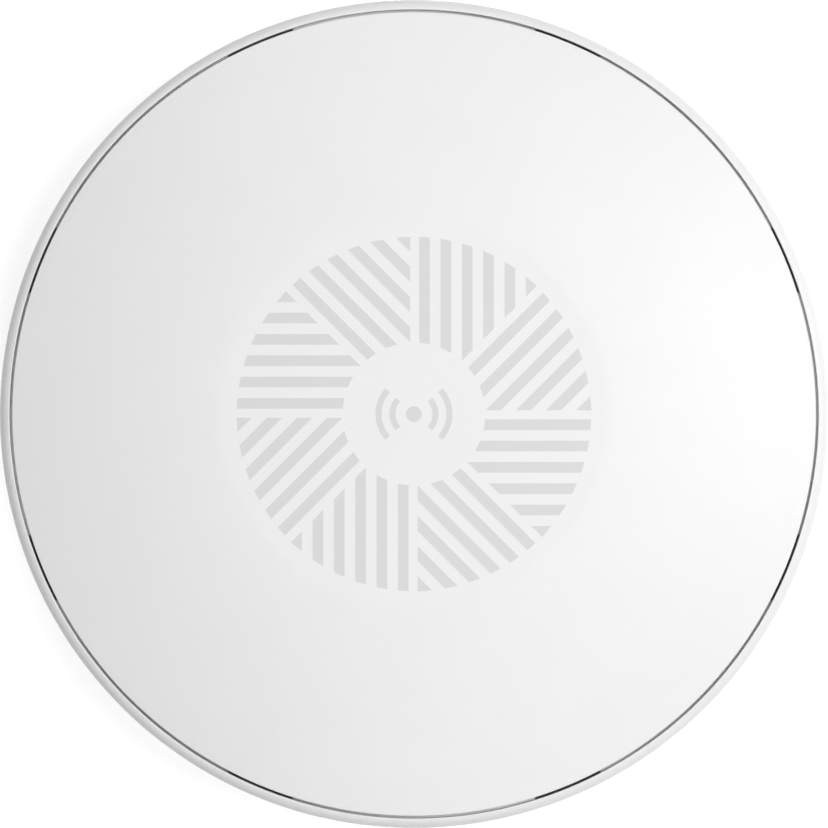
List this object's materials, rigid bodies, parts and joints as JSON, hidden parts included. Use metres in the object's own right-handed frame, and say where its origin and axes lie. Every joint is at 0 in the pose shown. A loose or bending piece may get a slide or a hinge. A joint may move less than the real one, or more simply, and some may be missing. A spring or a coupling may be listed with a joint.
{
  "type": "ceiling access point",
  "caption": "Shallow round wireless access point that twists onto a ceiling bracket, with a clip-on domed front cover, a rear cable bay and an Ethernet socket.",
  "frame": {"origin": "centre of the bracket's ceiling side", "axes": "+Z out of the ceiling towards the front cover, +Y away from the cable bay"},
  "size_m": [0.18, 0.18, 0.032],
  "materials": {
    "cover_plastic": "satin white",
    "cover_print": "light grey screen print on the cover",
    "housing_plastic": "satin white",
    "bracket_plastic": "fine matt grain",
    "label": "matt, blank",
    "circuit_board": "green solder mask",
    "chip_epoxy": "moulded epoxy",
    "ferrite": "matt, slightly rough",
    "tinplate": "bright tin plate",
    "screw_steel": "zinc plate",
    "heat_sink_aluminium": "extruded, clear anodised",
    "contact_gold": "gold flash",
    "thermal_pad": "soft, matt",
    "black_plastic": "moulded black",
    "led_resin": "clear resin over phosphor",
    "clear_acrylic": "moulded clear",
    "coax_jacket": "smooth extruded jacket"
  },
  "bodies": {
    "bracket": {"mounting_bracket": "bracket_plastic"},
    "unit": {"rear_housing": "housing_plastic", "rear_label": "label", "main_board": "circuit_board", "board_screw_1": "screw_steel", "board_screw_2": "screw_steel", "board_screw_3": "screw_steel", "board_screw_4": "screw_steel", "processor_chip": "chip_epoxy", "processor_thermal_pad": "thermal_pad", "memory_chip": "chip_epoxy", "memory_thermal_pad": "thermal_pad", "heat_sink": "heat_sink_aluminium", "heat_sink_pin_1": "black_plastic", "heat_sink_pin_2": "black_plastic", "ethernet_jack_shell": "tinplate", "ethernet_jack_insert": "black_plastic", "ethernet_jack_contacts": "contact_gold", "lan_transformer": "chip_epoxy", "poe_transformer": "ferrite", "power_inductor": "ferrite", "bulk_capacitor_1": "heat_sink_aluminium", "bulk_capacitor_2": "heat_sink_aluminium", "reset_switch": "tinplate", "status_led": "led_resin", "light_guide": "clear_acrylic", "radio_shield_low_band": "tinplate", "radio_chip_low_band": "chip_epoxy", "radio_shield_high_band": "tinplate", "radio_chip_high_band": "chip_epoxy", "antenna_1": "tinplate", "antenna_2": "tinplate", "antenna_3": "tinplate", "antenna_4": "tinplate", "coax_lead_1": "coax_jacket", "coax_lead_2": "coax_jacket", "coax_lead_3": "coax_jacket", "coax_lead_4": "coax_jacket", "coax_plug_1": "contact_gold", "coax_plug_2": "contact_gold", "coax_plug_3": "contact_gold", "coax_plug_4": "contact_gold"},
    "cover": {"front_cover": "cover_plastic"},
    "reset_button": {"reset_plunger": "black_plastic"}
  },
  "joints": [
    {"name": "bayonet_twist", "type": "hinge", "parent": "bracket", "child": "unit", "pos_m": [0, 0, 0], "axis": [0, 0, 1], "range_deg": [0, 18]},
    {"name": "cover_lift", "type": "slide", "parent": "unit", "child": "cover", "axis": [0, 0, 1], "range_m": [0, 0.06]},
    {"name": "reset_press", "type": "slide", "parent": "unit", "child": "reset_button", "axis": [0, 0, 1], "range_m": [0, 0.00025], "stiffness_N_per_m": 6000}
  ]
}
